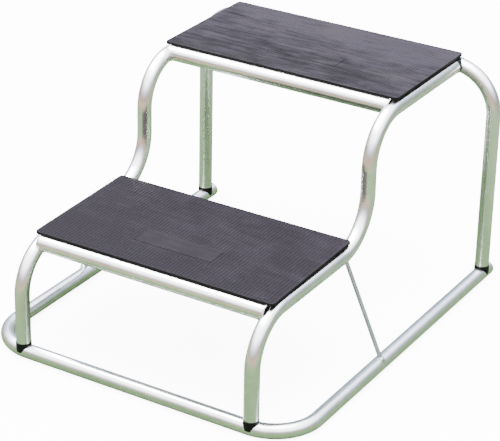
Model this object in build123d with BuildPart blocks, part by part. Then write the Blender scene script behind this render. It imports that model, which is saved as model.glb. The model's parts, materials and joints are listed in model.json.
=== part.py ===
from build123d import *
import os
from math import radians, sin, cos

os.makedirs("parts", exist_ok=True)

# Two-step mounting block. Millimetres, +Z up, X across the width, +Y from the front to the back.
# The origin is on the floor under the middle of the overall width and depth.

# ---- frame tube ----
TUBE_R = 14.0
TUBE_WALL = 2.0
BORE_R = TUBE_R - TUBE_WALL
BEND_R = 88.0
REAR_RISE_BEND_R = 94.0
END_STANDOFF = 4.5

# ---- layout ----
FRONT_Y = -375.5
BASE_HALF_W = 323.5
BASE_REAR_Y = FRONT_Y + 763.0
SIDE_HALF_W = 242.5
RISER_Y = FRONT_Y + 392.0
REAR_FRAME_Y = FRONT_Y + 737.0
FLOOR_TUBE_Z = TUBE_R
LOWER_RUN_Z = 212.0
UPPER_RUN_Z = 438.0
LEG_END_Z = FLOOR_TUBE_Z + TUBE_R + END_STANDOFF
RUN_END_Y = REAR_FRAME_Y - TUBE_R - END_STANDOFF

# ---- treads ----
TREAD_W = 500.0
LOWER_TREAD_D = 272.0
UPPER_TREAD_D = 268.0
TREAD_T = 6.0
TREAD_CORNER_R = 7.0
LOWER_TREAD_FRONT_Y = FRONT_Y + 52.0
LOWER_TREAD_Z = 227.8
LOWER_TREAD_TILT = 1.2
UPPER_TREAD_FRONT_Y = FRONT_Y + 473.5
UPPER_TREAD_Z = 456.2
UPPER_TREAD_TILT = 0.0

# ---- cross tubes ----
# The front ones lie under the front edges of the treads, a little above the side frames' centrelines.
CROSS_R = 15.0
CROSS_BORE_R = 13.0
CROSS_HALF_L = 237.0
LOWER_CROSS = (FRONT_Y + 53.5, 212.0)
UPPER_CROSS = (FRONT_Y + 473.5, 441.1)
REAR_CROSS_Y = RISER_Y - 118.0
REAR_CROSS_Z = 208.5

# ---- tread supports and fixings ----
# Each strap: distance behind the tread's front edge, and depth of the packing at its two ends.
STRAP_W = 30.0
STRAP_T = 4.5
PACKING_L = 36.0
LOWER_STRAPS = ((62.0, STRAP_T), (133.0, 5.3), (204.0, 6.8))
UPPER_STRAPS = ((64.0, STRAP_T), (137.0, STRAP_T), (210.0, STRAP_T))
SCREW_XS = (-170.0, 0.0, 170.0)
SCREW_R = 2.5
SCREW_HEAD_R = 5.0
SCREW_HEAD_H = 3.5
SCREW_DEPTH = 3.6
SCREW_WASHER_R = 7.0
SCREW_WASHER_T = 1.2

# ---- joint plugs and bolts ----
BOLT_R = 4.0
BOLT_CLEAR_R = 4.25
BOLT_HEAD_R = 6.5
ACCESS_R = 7.5
PLUG_SPIGOT_L = 30.0
COLLAR_R = 14.7
WING_DEPTH = 13.4
NUT_AF = 13.0
NUT_H = 6.5

# ---- tie rods ----
ROD_R = 4.0
ROD_TOP = (SIDE_HALF_W, FRONT_Y + 315.0, LOWER_RUN_Z - 6.0)
ROD_FOOT = (329.5, FRONT_Y + 307.0, 26.0)
ROD_WELD_R = 7.0


# ================= swept envelopes of the frame members =================
# Each envelope is the member filled solid to its outside radius; it is also the shape that
# the pieces bearing on that member are cut to.


def side_points(s):
    """Corner points of a side frame's centreline, from the foot to the rear end."""
    x = s * SIDE_HALF_W
    return [
        (x, FRONT_Y, LEG_END_Z),
        (x, FRONT_Y, LOWER_RUN_Z),
        (x, RISER_Y, LOWER_RUN_Z),
        (x, RISER_Y, UPPER_RUN_Z),
        (x, RUN_END_Y, UPPER_RUN_Z),
    ]


def rounded_path(points, radii):
    """Centreline through the corner points with a tangent arc at each inner corner."""
    edges = []
    start = Vector(*points[0])
    for k, r in enumerate(radii, start=1):
        corner = Vector(*points[k])
        u = (Vector(*points[k - 1]) - corner).normalized()
        v = (Vector(*points[k + 1]) - corner).normalized()
        p, q = corner + u * r, corner + v * r
        mid = corner + (u + v) * r - (u + v).normalized() * r
        edges += [Line(start, p), ThreePointArc(p, mid, q)]
        start = q
    edges.append(Line(start, Vector(*points[-1])))
    return Wire(edges)


base_path = rounded_path(
    [
        (-BASE_HALF_W, BASE_REAR_Y, FLOOR_TUBE_Z),
        (-BASE_HALF_W, FRONT_Y, FLOOR_TUBE_Z),
        (BASE_HALF_W, FRONT_Y, FLOOR_TUBE_Z),
        (BASE_HALF_W, BASE_REAR_Y, FLOOR_TUBE_Z),
    ],
    [BEND_R, BEND_R],
)
rear_path = rounded_path(
    [
        (-BASE_HALF_W, REAR_FRAME_Y, LEG_END_Z),
        (-BASE_HALF_W, REAR_FRAME_Y, UPPER_RUN_Z),
        (BASE_HALF_W, REAR_FRAME_Y, UPPER_RUN_Z),
        (BASE_HALF_W, REAR_FRAME_Y, LEG_END_Z),
    ],
    [BEND_R, BEND_R],
)
side_paths = {
    s: rounded_path(side_points(s), [BEND_R, REAR_RISE_BEND_R, BEND_R]) for s in (-1, 1)
}

with BuildPart() as base_envelope:
    with BuildSketch(Plane(origin=base_path @ 0, z_dir=base_path % 0)):
        Circle(TUBE_R)
    sweep(path=base_path)

with BuildPart() as rear_envelope:
    with BuildSketch(Plane(origin=rear_path @ 0, z_dir=rear_path % 0)):
        Circle(TUBE_R)
    sweep(path=rear_path)

side_envelopes = {}
for s, path in side_paths.items():
    with BuildPart() as side_envelope:
        with BuildSketch(Plane(origin=path @ 0, z_dir=path % 0)):
            Circle(TUBE_R)
        sweep(path=path)
    side_envelopes[s] = side_envelope.part


def bore_along(path):
    """The hollow inside a frame tube."""
    with BuildPart() as bore:
        with BuildSketch(Plane(origin=path @ 0, z_dir=path % 0)):
            Circle(BORE_R)
        sweep(path=path)
    return bore.part


# Feet of the four legs: x, y, and whether the floor tube below runs across (X) or back (Y).
FEET = {
    "front_left": (-SIDE_HALF_W, FRONT_Y),
    "front_right": (SIDE_HALF_W, FRONT_Y),
    "rear_left": (-BASE_HALF_W, REAR_FRAME_Y),
    "rear_right": (BASE_HALF_W, REAR_FRAME_Y),
}

# ================= base frame =================
with BuildPart() as base_frame:
    add(base_envelope.part)
    add(bore_along(base_path), mode=Mode.SUBTRACT)
    with Locations(*[(x, y, FLOOR_TUBE_Z) for x, y in FEET.values()]):
        # bolt hole in the top wall, access hole for the bolt head in the bottom wall
        Cylinder(BOLT_CLEAR_R, 40, align=(Align.CENTER, Align.CENTER, Align.MIN), mode=Mode.SUBTRACT)
        Cylinder(ACCESS_R, 40, align=(Align.CENTER, Align.CENTER, Align.MAX), mode=Mode.SUBTRACT)
base_frame.part.label = "base_frame"
export_step(base_frame.part, "parts/base_frame.step")

# Push-in bungs close the two rear ends of the base tube.
CAP_T = 2.0
for name, s in (("base_end_cap_left", -1), ("base_end_cap_right", 1)):
    with BuildPart() as cap:
        with BuildSketch(Plane(origin=(s * BASE_HALF_W, BASE_REAR_Y, FLOOR_TUBE_Z), z_dir=(0, 1, 0))):
            Circle(TUBE_R)
        extrude(amount=CAP_T)
        fillet(cap.faces().sort_by(Axis.Y)[-1].edges(), 1.2)
        with BuildSketch(Plane(origin=(s * BASE_HALF_W, BASE_REAR_Y, FLOOR_TUBE_Z), z_dir=(0, -1, 0))):
            Circle(BORE_R)
            Circle(BORE_R - 2.5, mode=Mode.SUBTRACT)
        extrude(amount=18)
    cap.part.label = name
    export_step(cap.part, f"parts/{name}.step")

# ================= side frames =================
for name, s in (("side_frame_left", -1), ("side_frame_right", 1)):
    with BuildPart() as side_frame:
        add(side_envelopes[s])
        add(bore_along(side_paths[s]), mode=Mode.SUBTRACT)
    side_frame.part.label = name
    export_step(side_frame.part, f"parts/{name}.step")

# ================= rear frame =================
JOINT_XS = (-SIDE_HALF_W, SIDE_HALF_W)
with BuildPart() as rear_frame:
    add(rear_envelope.part)
    add(bore_along(rear_path), mode=Mode.SUBTRACT)
    with Locations(*[(x, REAR_FRAME_Y, UPPER_RUN_Z) for x in JOINT_XS]):
        Cylinder(BOLT_CLEAR_R, 40, rotation=(90, 0, 0), mode=Mode.SUBTRACT)
rear_frame.part.label = "rear_frame"
export_step(rear_frame.part, "parts/rear_frame.step")

# ================= front cross tubes =================
for name, (y, z) in (("lower_front_cross_tube", LOWER_CROSS), ("upper_front_cross_tube", UPPER_CROSS)):
    with BuildPart() as cross_tube:
        with Locations((0, y, z)):
            Cylinder(CROSS_R, 2 * CROSS_HALF_L, rotation=(0, 90, 0))
            Cylinder(CROSS_BORE_R, 2 * CROSS_HALF_L, rotation=(0, 90, 0), mode=Mode.SUBTRACT)
        # the ends are coped to the side frames they are welded to
        for s in (-1, 1):
            add(side_envelopes[s], mode=Mode.SUBTRACT)
    cross_tube.part.label = name
    export_step(cross_tube.part, f"parts/{name}.step")

# ================= lower rear cross tube =================
with BuildPart() as rear_cross_tube:
    with BuildSketch(Plane(origin=(-SIDE_HALF_W, REAR_CROSS_Y, REAR_CROSS_Z), z_dir=(1, 0, 0))):
        Circle(TUBE_R)
        Circle(BORE_R, mode=Mode.SUBTRACT)
    extrude(amount=2 * SIDE_HALF_W)
    for s in (-1, 1):
        add(side_envelopes[s], mode=Mode.SUBTRACT)
rear_cross_tube.part.label = "lower_rear_cross_tube"
export_step(rear_cross_tube.part, "parts/lower_rear_cross_tube.step")

# ================= treads, straps, screws =================


def tread_plane(front_y, z, tilt):
    """Plane of a tread's underside, origin at the middle of its front edge, x across, y back."""
    return Plane(origin=(0, front_y, z), x_dir=(1, 0, 0), z_dir=(0, -sin(radians(tilt)), cos(radians(tilt))))


TREADS = {
    "lower": (
        tread_plane(LOWER_TREAD_FRONT_Y, LOWER_TREAD_Z, LOWER_TREAD_TILT),
        LOWER_TREAD_D,
        LOWER_STRAPS,
    ),
    "upper": (
        tread_plane(UPPER_TREAD_FRONT_Y, UPPER_TREAD_Z, UPPER_TREAD_TILT),
        UPPER_TREAD_D,
        UPPER_STRAPS,
    ),
}

for step, (plane, depth, straps) in TREADS.items():
    screw_spots = [(x, y) for y, packing in straps for x in SCREW_XS]

    with BuildPart() as tread:
        with BuildSketch(plane):
            with Locations((0, depth / 2)):
                RectangleRounded(TREAD_W, depth, TREAD_CORNER_R)
        extrude(amount=TREAD_T)
        top = tread.faces().sort_by(Axis.Z)[-1]
        fillet(top.edges(), 1.2)
        # blind holes that take the screws
        with BuildSketch(plane):
            with Locations(*screw_spots):
                Circle(SCREW_R)
        extrude(amount=SCREW_DEPTH, mode=Mode.SUBTRACT)
    tread.part.label = f"{step}_tread"
    export_step(tread.part, f"parts/{step}_tread.step")

    for place, (y, packing) in zip(("front", "middle", "rear"), straps):
        with BuildPart() as strap:
            with BuildSketch(plane):
                with Locations((0, y)):
                    Rectangle(2 * SIDE_HALF_W, STRAP_W)
            extrude(amount=-STRAP_T)
            # packing under both ends, down to the side frames
            with BuildSketch(plane):
                with Locations((PACKING_L / 2 - SIDE_HALF_W, y), (SIDE_HALF_W - PACKING_L / 2, y)):
                    Rectangle(PACKING_L, STRAP_W)
            extrude(amount=-packing)
            for s in (-1, 1):
                add(side_envelopes[s], mode=Mode.SUBTRACT)
            with BuildSketch(plane):
                with Locations(*[(x, y) for x in SCREW_XS]):
                    Circle(SCREW_R + 0.3)
            extrude(amount=-STRAP_T, mode=Mode.SUBTRACT)
        strap.part.label = f"{step}_strap_{place}"
        export_step(strap.part, f"parts/{step}_strap_{place}.step")

    with BuildPart() as washers:
        with BuildSketch(plane.offset(-STRAP_T)):
            with Locations(*screw_spots):
                Circle(SCREW_WASHER_R)
                Circle(SCREW_R + 0.3, mode=Mode.SUBTRACT)
        extrude(amount=-SCREW_WASHER_T)
    washers.part.label = f"{step}_screw_washers"
    export_step(washers.part, f"parts/{step}_screw_washers.step")

    head_z = -STRAP_T - SCREW_WASHER_T
    with BuildPart() as screws:
        with BuildSketch(plane.offset(head_z)):
            with Locations(*screw_spots):
                Circle(SCREW_R)
        extrude(amount=SCREW_DEPTH - head_z)
        with BuildSketch(plane.offset(head_z)):
            with Locations(*screw_spots):
                Circle(SCREW_HEAD_R)
        extrude(amount=-SCREW_HEAD_H)
        with BuildSketch(plane.offset(head_z - SCREW_HEAD_H)):
            with Locations(*screw_spots):
                RegularPolygon(2.5, 6)
        extrude(amount=2.0, mode=Mode.SUBTRACT)
    screws.part.label = f"{step}_tread_screws"
    export_step(screws.part, f"parts/{step}_tread_screws.step")

# ================= saddle plugs, bolts and nuts at the knock-down joints =================
# A plug pushes into a straight-cut tube end; its collar fills the gap down to the round tube that
# the end stands on, and its wings come down both sides of that tube.


def joint_plane(end, towards):
    """Plane at a tube's cut end, with z pointing out of the tube towards the tube it meets."""
    return Plane(origin=end, z_dir=towards)


JOINTS = {f"{k}_leg_saddle": joint_plane((x, y, LEG_END_Z), (0, 0, -1)) for k, (x, y) in FEET.items()}
JOINTS["left_run_saddle"] = joint_plane((-SIDE_HALF_W, RUN_END_Y, UPPER_RUN_Z), (0, 1, 0))
JOINTS["right_run_saddle"] = joint_plane((SIDE_HALF_W, RUN_END_Y, UPPER_RUN_Z), (0, 1, 0))

for name, plane in JOINTS.items():
    with BuildPart() as saddle:
        with BuildSketch(plane):
            Circle(COLLAR_R)
        extrude(amount=END_STANDOFF + WING_DEPTH)
        add(rear_envelope.part if "run" in name else base_envelope.part, mode=Mode.SUBTRACT)
        with BuildSketch(plane):
            Circle(BORE_R)
        extrude(amount=-PLUG_SPIGOT_L)
        with BuildSketch(plane.offset(-PLUG_SPIGOT_L)):
            Circle(BOLT_CLEAR_R)
        extrude(amount=PLUG_SPIGOT_L + END_STANDOFF + TUBE_R, mode=Mode.SUBTRACT)
        with BuildSketch(plane.offset(-PLUG_SPIGOT_L)):
            RegularPolygon(NUT_AF / 2, 6, major_radius=False)
        extrude(amount=NUT_H + 0.5, mode=Mode.SUBTRACT)
    saddle.part.label = name
    export_step(saddle.part, f"parts/{name}.step")

# Plain hexagon nuts lie against the bottom of each plug's pocket.
NUT_BASE = PLUG_SPIGOT_L - NUT_H - 0.5
for name, word in (("leg_nuts", "leg"), ("run_nuts", "run")):
    with BuildPart() as nuts:
        for plane in [p for joint, p in JOINTS.items() if word in joint]:
            with BuildSketch(plane.offset(-NUT_BASE)):
                RegularPolygon(NUT_AF / 2, 6, major_radius=False)
                Circle(BOLT_R, mode=Mode.SUBTRACT)
            extrude(amount=-NUT_H)
    nuts.part.label = name
    export_step(nuts.part, f"parts/{name}.step")

# Leg bolts: the head sits inside the base tube, shaped to the inside of its top wall.
LEG_BOLT_HEAD_Z = 17.0
LEG_BOLT_TOP_Z = LEG_END_Z + PLUG_SPIGOT_L + 2.0
base_bore = bore_along(base_path)
with BuildPart() as leg_bolts:
    for x, y in FEET.values():
        with BuildSketch(Plane(origin=(x, y, LEG_BOLT_HEAD_Z))):
            Circle(BOLT_HEAD_R)
        extrude(amount=LEG_END_Z - LEG_BOLT_HEAD_Z)
    add(base_bore, mode=Mode.INTERSECT)
    for x, y in FEET.values():
        with BuildSketch(Plane(origin=(x, y, LEG_BOLT_HEAD_Z + 3))):
            Circle(BOLT_R)
        extrude(amount=LEG_BOLT_TOP_Z - LEG_BOLT_HEAD_Z - 3)
        with BuildSketch(Plane(origin=(x, y, LEG_BOLT_HEAD_Z))):
            RegularPolygon(2.9, 6)
        extrude(amount=4.0, mode=Mode.SUBTRACT)
leg_bolts.part.label = "leg_bolts"
export_step(leg_bolts.part, "parts/leg_bolts.step")

# Run bolts: dome-headed, through the rear bar from behind, on washers shaped to the bar.
RUN_WASHER_R = 9.0
RUN_WASHER_Y = REAR_FRAME_Y + TUBE_R + 2.0
with BuildPart() as run_washers:
    for x in JOINT_XS:
        with BuildSketch(Plane(origin=(x, RUN_WASHER_Y, UPPER_RUN_Z), z_dir=(0, -1, 0))):
            Circle(RUN_WASHER_R)
            Circle(BOLT_CLEAR_R, mode=Mode.SUBTRACT)
        extrude(amount=8)
    add(rear_envelope.part, mode=Mode.SUBTRACT)
run_washers.part.label = "run_washers"
export_step(run_washers.part, "parts/run_washers.step")

with BuildPart() as run_bolts:
    for x in JOINT_XS:
        with BuildSketch(Plane(origin=(x, RUN_WASHER_Y, UPPER_RUN_Z), z_dir=(0, -1, 0))):
            Circle(BOLT_R)
        extrude(amount=RUN_WASHER_Y - RUN_END_Y + PLUG_SPIGOT_L + 2.0)
        with BuildSketch(Plane(origin=(x, RUN_WASHER_Y, UPPER_RUN_Z), z_dir=(0, 1, 0))):
            Circle(7.0)
        extrude(amount=4.5)
    fillet(run_bolts.faces().filter_by(Axis.Y).group_by(Axis.Y)[-1].edges(), 3.0)
    for x in JOINT_XS:
        with BuildSketch(Plane(origin=(x, RUN_WASHER_Y + 4.5, UPPER_RUN_Z), z_dir=(0, -1, 0))):
            RegularPolygon(2.9, 6)
        extrude(amount=2.5, mode=Mode.SUBTRACT)
run_bolts.part.label = "run_bolts"
export_step(run_bolts.part, "parts/run_bolts.step")

# ================= tie rods =================
for name, s in (("tie_rod_left", -1), ("tie_rod_right", 1)):
    top = Vector(s * ROD_TOP[0], *ROD_TOP[1:])
    foot = Vector(s * ROD_FOOT[0], *ROD_FOOT[1:])
    with BuildPart() as tie_rod:
        with BuildSketch(Plane(origin=top, z_dir=foot - top)):
            Circle(ROD_R)
        extrude(amount=(foot - top).length)
        # weld build-up round the foot
        with Locations(foot):
            Sphere(ROD_WELD_R)
        add(base_envelope.part, mode=Mode.SUBTRACT)
        add(side_envelopes[s], mode=Mode.SUBTRACT)
    tie_rod.part.label = name
    export_step(tie_rod.part, f"parts/{name}.step")
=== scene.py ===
import json
from math import cos, pi, radians, sin, sqrt

import bpy
from mathutils import Matrix, Vector


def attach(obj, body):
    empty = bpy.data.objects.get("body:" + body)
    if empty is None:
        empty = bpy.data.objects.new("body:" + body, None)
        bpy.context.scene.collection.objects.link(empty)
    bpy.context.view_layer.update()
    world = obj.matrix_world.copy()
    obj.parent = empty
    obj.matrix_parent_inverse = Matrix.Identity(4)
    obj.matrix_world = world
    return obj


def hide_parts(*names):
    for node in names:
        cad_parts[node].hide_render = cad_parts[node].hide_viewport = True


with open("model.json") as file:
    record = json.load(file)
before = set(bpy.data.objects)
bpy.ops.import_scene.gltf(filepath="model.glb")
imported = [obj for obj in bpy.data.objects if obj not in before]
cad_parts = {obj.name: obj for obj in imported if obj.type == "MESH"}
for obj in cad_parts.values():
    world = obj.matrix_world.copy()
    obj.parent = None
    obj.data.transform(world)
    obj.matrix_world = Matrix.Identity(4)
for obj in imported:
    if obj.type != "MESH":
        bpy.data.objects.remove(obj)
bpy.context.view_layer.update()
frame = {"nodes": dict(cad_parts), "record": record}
scene = bpy.context.scene
nodes = frame["nodes"]

# ---------------------------------------------------------------- sizes, in metres
TUBE_R = 0.014
BASE_X = 0.3235
SIDE_X = 0.2425
FRONT_Y = -0.3755
LOWER_RUN_Z, UPPER_RUN_Z = 0.212, 0.438
BEND_R = 0.088
RISER_Y = FRONT_Y + 0.392
TREAD_W, TREAD_T = 0.500, 0.006
# each tread: middle of its lower front edge, tilt, depth
LOWER_TREAD = (Vector((0, -0.3235, 0.2278)), radians(1.2), 0.272)
UPPER_TREAD = (Vector((0, 0.098, 0.4562)), 0.0, 0.268)
# front cross tubes: y and z of the centreline
CROSS_R = 0.015
LOWER_CROSS = (-0.322, 0.212)
UPPER_CROSS = (0.098, 0.4411)
CROSS_HALF_L = 0.237
ROD_FOOT = Vector((0.3295, -0.0685, 0.026))


# ---------------------------------------------------------------- node helpers
class Nodes:
    """A new material's node tree, or the world's, with short calls for the nodes used here."""

    def __init__(self, name, world=None):
        self.mat = world or bpy.data.materials.new(name)
        self.mat.use_nodes = True
        self.tree = self.mat.node_tree
        self.bsdf = self.tree.nodes.get("Principled BSDF")
        place = self.tree.nodes.new("ShaderNodeTexCoord")
        self.place = place.outputs["Generated" if world else "Object"]

    def link(self, a, b):
        self.tree.links.new(a, b)

    def put(self, socket, value):
        if isinstance(value, bpy.types.NodeSocket):
            self.link(value, socket)
        else:
            socket.default_value = value

    def stretched(self, x, y, z):
        n = self.tree.nodes.new("ShaderNodeMapping")
        self.link(self.place, n.inputs["Vector"])
        n.inputs["Scale"].default_value = (x, y, z)
        return n.outputs["Vector"]

    def noise(self, scale, detail=4.0, rough=0.55, vector=None, distortion=0.0):
        n = self.tree.nodes.new("ShaderNodeTexNoise")
        self.link(vector or self.place, n.inputs["Vector"])
        n.inputs["Scale"].default_value = scale
        n.inputs["Detail"].default_value = detail
        n.inputs["Roughness"].default_value = rough
        n.inputs["Distortion"].default_value = distortion
        return n.outputs["Fac"]

    def cells(self, scale):
        """A random colour for each cell."""
        n = self.tree.nodes.new("ShaderNodeTexVoronoi")
        self.link(self.place, n.inputs["Vector"])
        n.inputs["Scale"].default_value = scale
        return n.outputs["Color"]

    def ramp(self, fac, *stops):
        n = self.tree.nodes.new("ShaderNodeValToRGB")
        self.link(fac, n.inputs["Fac"])
        while len(n.color_ramp.elements) < len(stops):
            n.color_ramp.elements.new(0.5)
        for e, (at, colour) in zip(n.color_ramp.elements, stops):
            e.position = at
            e.color = (*colour, 1) if len(colour) == 3 else (colour[0],) * 3 + (1,)
        return n.outputs["Color"]

    def span(self, fac, a, b, lo, hi):
        n = self.tree.nodes.new("ShaderNodeMapRange")
        self.put(n.inputs["Value"], fac)
        for k, v in (("From Min", a), ("From Max", b), ("To Min", lo), ("To Max", hi)):
            n.inputs[k].default_value = v
        return n.outputs["Result"]

    def mix(self, fac, a, b, how="MIX"):
        n = self.tree.nodes.new("ShaderNodeMix")
        n.data_type, n.blend_type = "RGBA", how
        self.put(n.inputs["Factor"], fac)
        for k, v in ((6, a), (7, b)):
            self.put(n.inputs[k], v if isinstance(v, bpy.types.NodeSocket) else (*v, 1))
        return n.outputs[2]

    def math(self, op, a, b=0.0):
        n = self.tree.nodes.new("ShaderNodeMath")
        n.operation = op
        self.put(n.inputs[0], a)
        self.put(n.inputs[1], b)
        return n.outputs[0]

    def axis(self, which, source=None):
        n = self.tree.nodes.new("ShaderNodeSeparateXYZ")
        self.link(source or self.place, n.inputs[0])
        return n.outputs[which]

    def normal(self):
        return self.tree.nodes.new("ShaderNodeNewGeometry").outputs["True Normal"]

    def bump(self, height, strength, distance):
        n = self.tree.nodes.new("ShaderNodeBump")
        self.link(height, n.inputs["Height"])
        n.inputs["Strength"].default_value = strength
        n.inputs["Distance"].default_value = distance
        self.link(n.outputs["Normal"], self.bsdf.inputs["Normal"])

    def set(self, **values):
        for k, v in values.items():
            self.put(self.bsdf.inputs[k.replace("_", " ")], v)


def galvanised(name, light, dark, rough, spangle=0.30):
    """Hot-dip zinc on drawn tube: faint crystal patches, a soft mottle and a few brown scuffs."""
    m = Nodes(name)
    patch = m.axis("X", m.cells(70.0))
    mottle = m.noise(26.0, 3.0, 0.5)
    cloud = m.noise(9.0, 3.0, 0.5)
    tone = m.math("ADD", m.math("MULTIPLY", patch, spangle), m.math("MULTIPLY", mottle, 0.5))
    tone = m.math("ADD", tone, m.math("MULTIPLY", cloud, 0.25))
    colour = m.ramp(tone, (0.25, dark), (0.62, light), (0.95, tuple(min(1.0, c * 1.05) for c in light)))
    scuffs = m.ramp(m.noise(75.0, 5.0, 0.7), (0.70, (0.0,)), (0.73, (1.0,)))
    colour = m.mix(m.math("MULTIPLY", scuffs, 0.45), colour, (0.25, 0.19, 0.16))
    low = m.span(m.axis("Z"), 0.008, 0.0, 0.0, 0.35)
    colour = m.mix(low, colour, (0.30, 0.31, 0.25))
    m.set(Base_Color=colour, Metallic=1.0)
    m.set(Roughness=m.span(cloud, 0.3, 0.7, rough, rough + 0.07))
    m.bump(m.noise(30.0, 1.5, 0.5), 0.05, 0.0006)
    return m.mat


def rubber(name, top_dark, top_light, side, dust, streak_scale, scratch, depth_paling):
    """Moulded rubber: black on the sides, greyed on top by boots and dust and also by painted light, the
    black sides partly painted shade; with fine grain.

    The last argument is the front and back of the tread and how much paler its top is at each.
    """
    m = Nodes(name)
    mottle = m.noise(16.0, 8.0, 0.62)
    streaks = m.noise(1.0, 6.0, 0.6, m.stretched(*streak_scale), 0.6)
    fine = m.noise(900.0, 3.0, 0.7)
    tone = m.math("ADD", m.math("MULTIPLY", mottle, 0.5), m.math("MULTIPLY", streaks, 0.5))
    front, back, low, high = depth_paling
    tone = m.math("ADD", tone, m.span(m.axis("Y"), front, back, low, high))
    # the top also pales slightly from left to right
    tone = m.math("ADD", tone, m.span(m.axis("X"), -0.25, 0.25, -0.04, 0.04))
    lines = m.noise(1.0, 4.0, 0.6, m.stretched(16.0, 150.0, 1.0), 0.3)
    tone = m.math("ADD", tone, m.math("MULTIPLY", m.math("SUBTRACT", lines, 0.5), scratch))
    top = m.ramp(tone, (0.34, top_dark), (0.68, top_light))
    smudge = m.ramp(m.noise(7.0, 9.0, 0.7, m.stretched(0.6, 1.8, 1.0), 0.9), (0.52, (0.0,)), (0.78, (1.0,)))
    top = m.mix(m.math("MULTIPLY", smudge, dust), top, (0.050, 0.046, 0.048))
    top = m.mix(m.math("MULTIPLY", fine, 0.35), top, tuple(c * 0.62 for c in top_dark))
    specks = m.ramp(m.noise(330.0, 2.0, 0.5), (0.735, (0.0,)), (0.76, (1.0,)))
    top = m.mix(m.math("MULTIPLY", specks, 0.55), top, (0.075, 0.070, 0.066))
    # upward faces take the paler top colour and the rest the black side colour: painted light on top and
    # painted shade on the sides, besides the dust and boot scuffing
    up = m.span(m.axis("Z", m.normal()), 0.35, 0.92, 0.0, 1.0)
    m.set(Base_Color=m.mix(up, side, top), Metallic=0.0)
    m.set(Roughness=m.math("ADD", m.span(tone, 0.3, 0.7, 0.62, 0.50), m.math("MULTIPLY", smudge, 0.12)))
    m.bsdf.inputs["Specular IOR Level"].default_value = 0.055
    m.bump(m.math("ADD", fine, m.math("MULTIPLY", mottle, 0.6)), 0.22, 0.0004)
    return m.mat


def black_plastic(name):
    """Injection-moulded polypropylene with a faint grain and scuffs."""
    m = Nodes(name)
    grain = m.noise(1100.0, 2.0, 0.5)
    scuff = m.ramp(m.noise(120.0, 6.0, 0.7), (0.58, (0.0,)), (0.72, (1.0,)))
    black, grey = (0.0015, 0.0015, 0.0017), (0.010, 0.0098, 0.0095)
    m.set(Base_Color=m.mix(m.math("MULTIPLY", scuff, 0.4), black, grey))
    m.set(Roughness=m.span(scuff, 0.0, 1.0, 0.38, 0.58))
    m.bsdf.inputs["Specular IOR Level"].default_value = 0.15
    m.bump(grain, 0.15, 0.0003)
    return m.mat


def zinc(name):
    """Zinc-plated fixings, slightly yellowed."""
    m = Nodes(name)
    mottle = m.noise(240.0, 5.0, 0.6)
    m.set(Base_Color=m.ramp(mottle, (0.3, (0.50, 0.49, 0.45)), (0.7, (0.76, 0.75, 0.71))), Metallic=1.0)
    m.set(Roughness=m.span(mottle, 0.3, 0.7, 0.24, 0.40))
    m.bump(mottle, 0.12, 0.0003)
    return m.mat


def weld_metal(name):
    """A galvanised weld bead: duller and rougher than the tube."""
    m = Nodes(name)
    mottle = m.noise(300.0, 6.0, 0.7)
    m.set(Base_Color=m.ramp(mottle, (0.3, (0.50, 0.50, 0.51)), (0.7, (0.80, 0.80, 0.81))), Metallic=1.0)
    m.set(Roughness=m.span(mottle, 0.3, 0.7, 0.34, 0.50))
    m.bump(mottle, 0.35, 0.0006)
    return m.mat


TUBE = galvanised("galvanised_tube", (0.90, 0.905, 0.92), (0.76, 0.78, 0.81), 0.21)
# the rods' darker, cyan-green colour is a painted reflection of the grass round them
ROD = galvanised("galvanised_rod", (0.40, 0.47, 0.47), (0.26, 0.32, 0.32), 0.36)
FLAT = galvanised("galvanised_flat", (0.70, 0.71, 0.73), (0.46, 0.48, 0.50), 0.36)
PLASTIC = black_plastic("moulded_black")
ZINC = zinc("zinc_fixings")
WELD = weld_metal("weld_bead")
LOWER_RUBBER = rubber(
    "lower_tread_rubber",
    top_dark=(0.0084, 0.0067, 0.0101),
    top_light=(0.0190, 0.0160, 0.0225),
    side=(0.003, 0.003, 0.003),
    dust=0.10,
    streak_scale=(5.0, 16.0, 1.0),
    scratch=0.45,
    depth_paling=(-0.32, -0.05, -0.20, -0.02),
)
UPPER_RUBBER = rubber(
    "upper_tread_rubber",
    top_dark=(0.0062, 0.0051, 0.0074),
    top_light=(0.0330, 0.0285, 0.0375),
    side=(0.003, 0.003, 0.003),
    dust=0.45,
    streak_scale=(3.0, 15.0, 1.0),
    scratch=0.9,
    depth_paling=(0.10, 0.37, -0.09, 0.19),
)

LOOKS = {
    "galvanised_tube": TUBE,
    "galvanised_rod": ROD,
    "galvanised_flat": FLAT,
    "black_plastic": PLASTIC,
    "zinc_fixings": ZINC,
    "tread_rubber": LOWER_RUBBER,
}
for part in frame["record"]["subparts"]:
    mesh = nodes[part["node"]].data
    mesh.materials.clear()
    mesh.materials.append(LOOKS[part["material_slot"]])


# ---------------------------------------------------------------- mesh helpers
def piece(name, verts, faces, material, smooth=True):
    mesh = bpy.data.meshes.new(name)
    mesh.from_pydata([tuple(v) for v in verts], [], faces)
    mesh.validate()
    mesh.update()
    if smooth:
        mesh.polygons.foreach_set("use_smooth", [True] * len(mesh.polygons))
    mesh.materials.append(material)
    obj = bpy.data.objects.new(name, mesh)
    scene.collection.objects.link(obj)
    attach(obj, "root")
    return obj


def skin(verts, faces, rings, caps=True):
    """Adds a surface through closed rings of points, each with the same number of points."""
    start, n = len(verts), len(rings[0])
    for ring in rings:
        verts.extend(ring)
    for k in range(len(rings) - 1):
        a, b = start + k * n, start + (k + 1) * n
        for i in range(n):
            j = (i + 1) % n
            faces.append((a + i, a + j, b + j, b + i))
    if caps:
        faces.append(tuple(start + i for i in reversed(range(n))))
        faces.append(tuple(start + (len(rings) - 1) * n + i for i in range(n)))


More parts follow.
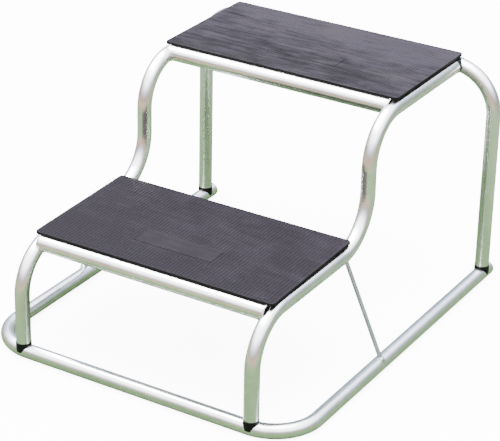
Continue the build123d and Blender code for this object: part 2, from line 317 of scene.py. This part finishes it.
# ---------------------------------------------------------------- ribbed rubber treads
# heights are above the tread's underside; SOLID_W is as far up as the CAD body stays untouched
SOLID_W, GROOVE_W, RIB_BASE_W = 0.004, 0.005, 0.00495
RIB_PITCH, RIB_HALF, RIB_END = 0.00667, 0.0024, 0.0024
RIB_GAP = 0.0012
PANEL_HALF, PANEL_FROM, PANEL_TO = 0.082, 0.0675, 0.1115
CORNER_STEPS = 4
# a rib's section: half widths and heights as fractions
RISE = ((-1.0, 0.0), (-0.9, 0.42), (-0.66, 0.82), (-0.3, 0.98))
PROFILE = RISE + tuple((-a, b) for a, b in reversed(RISE))


def tread(name, plane, node, material, rib_lift):
    origin, tilt, depth = plane
    back = Vector((0, cos(tilt), sin(tilt)))
    up = Vector((0, -sin(tilt), cos(tilt)))

    def at(u, v, w):
        return origin + Vector((u, 0, 0)) + back * v + up * w

    # the body is the CAD solid with its top face let down to the bottom of the grooves
    cad = nodes[node].data
    verts = []
    for vertex in cad.vertices:
        d = vertex.co - origin
        v, w = d.dot(back), d.dot(up)
        if w > SOLID_W:
            w = SOLID_W + (w - SOLID_W) * (GROOVE_W - SOLID_W) / (TREAD_T - SOLID_W)
        verts.append(at(vertex.co.x, v, w))
    faces = [tuple(f.vertices) for f in cad.polygons]

    def rib(u, v0, v1):
        rings = []
        for v, lift, width in (
            (v0, 0.0, 0.80),
            (v0 + 0.0006, 0.55, 0.94),
            (v0 + 0.0018, 1.0, 1.0),
            (v1 - 0.0018, 1.0, 1.0),
            (v1 - 0.0006, 0.55, 0.94),
            (v1, 0.0, 0.80),
        ):
            rise = rib_lift * lift
            rings.append([at(u + a * RIB_HALF * width, v, RIB_BASE_W + b * rise) for a, b in PROFILE])
        skin(verts, faces, rings)

    count = int((TREAD_W / 2 - 0.007) / RIB_PITCH)
    for k in range(-count, count + 1):
        u = k * RIB_PITCH
        if abs(u) < PANEL_HALF + 0.003:
            rib(u, RIB_END, PANEL_FROM - RIB_GAP)
            rib(u, PANEL_TO + RIB_GAP, depth - RIB_END)
        else:
            rib(u, RIB_END, depth - RIB_END)

    # a blank moulded panel with a raised rim
    def frame_ring(inset, w, r):
        mid, half = (PANEL_FROM + PANEL_TO) / 2, (PANEL_TO - PANEL_FROM) / 2
        points = []
        for cx, cy, a0 in ((1, 1, 0), (-1, 1, 90), (-1, -1, 180), (1, -1, 270)):
            for k in range(CORNER_STEPS + 1):
                a = radians(a0 + 90 * k / CORNER_STEPS)
                x = cx * (PANEL_HALF - inset - r) + r * cos(a)
                y = mid + cy * (half - inset - r) + r * sin(a)
                points.append(at(x, y, w))
        return points

    # each ring of the rim: inset, height, corner radius
    rim = (
        (0.0, GROOVE_W - 0.0001, 0.0022),
        (0.0003, 0.00572, 0.0020),
        (0.0008, 0.00592, 0.0018),
        (0.0013, 0.00592, 0.0016),
        (0.0018, 0.00570, 0.0014),
        (0.0022, 0.00545, 0.0012),
    )
    rings = [frame_ring(*r) for r in rim]
    skin(verts, faces, rings, caps=False)
    faces.append(tuple(range(len(verts) - len(rings[-1]), len(verts))))

    obj = piece(name, verts, faces, material, smooth=False)
    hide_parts(node)
    return obj


tread("lower_ribbed_tread", LOWER_TREAD, "lower_tread", LOWER_RUBBER, 0.0007)
tread("upper_ribbed_tread", UPPER_TREAD, "upper_tread", UPPER_RUBBER, 0.0004)


# ---------------------------------------------------------------- weld beads
BEAD_SIDES, RIPPLE_PITCH = 10, 0.0026


def bead(name, path, radius):
    """A rippled weld bead round a closed path of points."""
    rings, run = [], 0.0
    for i, p in enumerate(path):
        along = (path[(i + 1) % len(path)] - path[i - 1]).normalized()
        side = along.cross(Vector((0.31, 0.22, 0.92))).normalized()
        rise = along.cross(side)
        if i:
            run += (p - path[i - 1]).length
        ripple = 0.86 + 0.20 * abs(sin(pi * run / RIPPLE_PITCH)) + 0.05 * sin(run * 1900.0)
        ring = []
        for k in range(BEAD_SIDES):
            a = 2 * pi * k / BEAD_SIDES
            ring.append(p + (side * cos(a) + rise * sin(a)) * radius * ripple)
        rings.append(ring)
    verts, faces = [], []
    skin(verts, faces, rings + rings[:1], caps=False)
    return piece(name, verts, faces, WELD)


def side_gap(y, z, run_z, leg_y):
    """How far a point lies off a side frame's centreline, seen along X, near the front bend of a run."""
    cy, cz = leg_y + BEND_R, run_z - BEND_R
    if y >= cy:
        return abs(z - run_z)
    if z <= cz:
        return abs(y - leg_y)
    return abs(sqrt((y - cy) ** 2 + (z - cz) ** 2) - BEND_R)


def cope_x(y, z, run_z, leg_y):
    """|x| where a cross tube's skin meets the side frame at that height and depth."""
    gap = min(side_gap(y, z, run_z, leg_y), TUBE_R)
    return min(CROSS_HALF_L, SIDE_X - sqrt(TUBE_R**2 - gap**2))


# a bead round each end of the front cross tubes, where they meet the side frames
BEAD_SINK = 0.0006
CROSS_STEPS = 96
for name, (cy, cz), run_z, leg_y in (
    ("lower_front", LOWER_CROSS, LOWER_RUN_Z, FRONT_Y),
    ("upper_front", UPPER_CROSS, UPPER_RUN_Z, RISER_Y),
):
    for side, s in (("left", -1), ("right", 1)):
        path = []
        for k in range(CROSS_STEPS):
            a = 2 * pi * k / CROSS_STEPS
            y, z = cy + CROSS_R * cos(a), cz + CROSS_R * sin(a)
            path.append(Vector((s * (cope_x(y, z, run_z, leg_y) - BEAD_SINK), y, z)))
        bead(f"weld_{name}_{side}", path, 0.0017)


# a ring of weld round the foot of each tie rod, on the outer top of the base tube
RING_R, RING_STEPS = 0.0062, 40
for side, s in (("left", -1), ("right", 1)):
    foot = Vector((s * ROD_FOOT.x, ROD_FOOT.y, ROD_FOOT.z))
    out = (foot - Vector((s * BASE_X, foot.y, TUBE_R))).normalized()
    across = out.cross(Vector((0, 1, 0)))
    path = []
    for k in range(RING_STEPS):
        a = 2 * pi * k / RING_STEPS
        spot = foot + (across * cos(a) + Vector((0, sin(a), 0))) * RING_R
        hub = Vector((s * BASE_X, spot.y, TUBE_R))
        path.append(hub + (spot - hub).normalized() * (TUBE_R + BEAD_SINK))
    bead(f"weld_tie_rod_{side}", path, 0.0019)


# ---------------------------------------------------------------- floor, lights, camera
# the floor is white, but glossy surfaces see it as grass round the block and bare ground far out in front,
# a painted reflection, with the grass darkest close to the block as painted shade under the frame
bpy.ops.mesh.primitive_plane_add(size=40, location=(0, 0, 0))
floor = bpy.context.object
floor.name = "studio_floor"
look = Nodes("studio_floor")
ray = look.tree.nodes.new("ShaderNodeLightPath").outputs
x_squared = look.math("POWER", look.axis("X"), 2.0)
y_squared = look.math("POWER", look.axis("Y"), 2.0)
reach = look.math("SQRT", look.math("ADD", x_squared, y_squared))
reach = look.math("ADD", reach, look.span(look.noise(3.0, 4.0, 0.6), 0.3, 0.7, -0.2, 0.2))
# painted shade: the reflected grass is darker the closer it lies to the block
ground = look.ramp(
    look.math("MULTIPLY", reach, 0.4),
    (0.08, (0.068, 0.108, 0.050)),
    (0.20, (0.082, 0.128, 0.060)),
    (0.34, (0.102, 0.150, 0.076)),
    (0.55, (0.122, 0.160, 0.098)),
    (0.80, (0.112, 0.140, 0.092)),
)
in_front = look.span(look.axis("Y"), -0.4, -1.2, 0.0, 1.0)
bare = look.math("MULTIPLY", in_front, look.span(reach, 0.9, 2.0, 0.0, 1.0))
ground = look.mix(bare, ground, (0.250, 0.170, 0.110))
look.set(Base_Color=look.mix(ray["Is Glossy Ray"], (0.95, 0.95, 0.95), ground), Roughness=1.0)
look.bsdf.inputs["Emission Color"].default_value = (1, 1, 1, 1)
look.set(Emission_Strength=look.math("MULTIPLY", ray["Is Camera Ray"], 9.0))
look.bsdf.inputs["Specular IOR Level"].default_value = 0.0
floor.data.materials.append(look.mat)

# a soft white dome, reflected as darker low down: warm in front, blue at the rear left, green at the
# rear right
world = bpy.data.worlds.new("studio")
scene.world = world
sky = Nodes("studio", world)
height = sky.axis("Z")
clear = sky.ramp(
    height,
    (0.0, (0.110, 0.074, 0.050)),
    (0.10, (0.130, 0.100, 0.086)),
    (0.26, (0.180, 0.178, 0.210)),
    (0.46, (0.55, 0.55, 0.59)),
    (0.60, (1, 1, 1)),
)
shade = sky.ramp(
    height,
    (0.0, (0.060, 0.070, 0.060)),
    (0.20, (0.075, 0.092, 0.125)),
    (0.52, (0.135, 0.165, 0.240)),
    (0.67, (0.70, 0.75, 0.88)),
    (0.80, (1, 1, 1)),
)
hedge = sky.ramp(
    height,
    (0.0, (0.055, 0.072, 0.048)),
    (0.22, (0.090, 0.106, 0.092)),
    (0.46, (0.150, 0.170, 0.220)),
    (0.65, (0.70, 0.74, 0.88)),
    (0.78, (1, 1, 1)),
)
rear = sky.span(sky.axis("Y"), 0.0, 0.45, 0.0, 1.0)
shade = sky.mix(sky.span(sky.axis("X"), -0.15, 0.30, 0.0, 1.0), shade, hedge)
seen = sky.tree.nodes.new("ShaderNodeLightPath").outputs["Is Camera Ray"]
dome = sky.mix(seen, sky.mix(rear, clear, shade), (1.6, 1.6, 1.6))
sky.link(dome, sky.tree.nodes["Background"].inputs["Color"])
sky.tree.nodes["Background"].inputs["Strength"].default_value = 6.0


def softbox(name, place, aim, size, power):
    light = bpy.data.lights.new(name, "AREA")
    light.shape, light.size, light.size_y, light.energy = "RECTANGLE", size[0], size[1], power
    obj = bpy.data.objects.new(name, light)
    scene.collection.objects.link(obj)
    obj.location = place
    obj.rotation_mode = "QUATERNION"
    obj.rotation_quaternion = (Vector(aim) - Vector(place)).to_track_quat("-Z", "Y")
    return obj


softbox("top_light", (0.2, -0.3, 3.0), (0, 0, 0.2), (2.4, 2.4), 160)
glint = softbox("glint_light", (-1.3, 0.2, 3.0), (0, 0, 0.2), (2.2, 2.2), 480)
glint.visible_diffuse = False

AZIMUTH, ELEVATION, ROLL = radians(31.05), radians(26.39), radians(1.17)
AIM, DISTANCE = Vector((0.0144, -0.0136, 0.198)), 3.73
toward = Vector((sin(AZIMUTH) * cos(ELEVATION), -cos(AZIMUTH) * cos(ELEVATION), sin(ELEVATION)))
right = (-toward).cross(Vector((0, 0, 1))).normalized()
upward = right.cross(-toward)
right, upward = right * cos(ROLL) + upward * sin(ROLL), upward * cos(ROLL) - right * sin(ROLL)
camera = bpy.data.cameras.new("camera")
camera.sensor_fit, camera.sensor_width, camera.lens = "HORIZONTAL", 36.0, 144.3
camera_obj = bpy.data.objects.new("camera", camera)
scene.collection.objects.link(camera_obj)
turn = Matrix((right, upward, toward)).transposed().to_4x4()
camera_obj.matrix_world = Matrix.Translation(AIM + toward * DISTANCE) @ turn
scene.camera = camera_obj
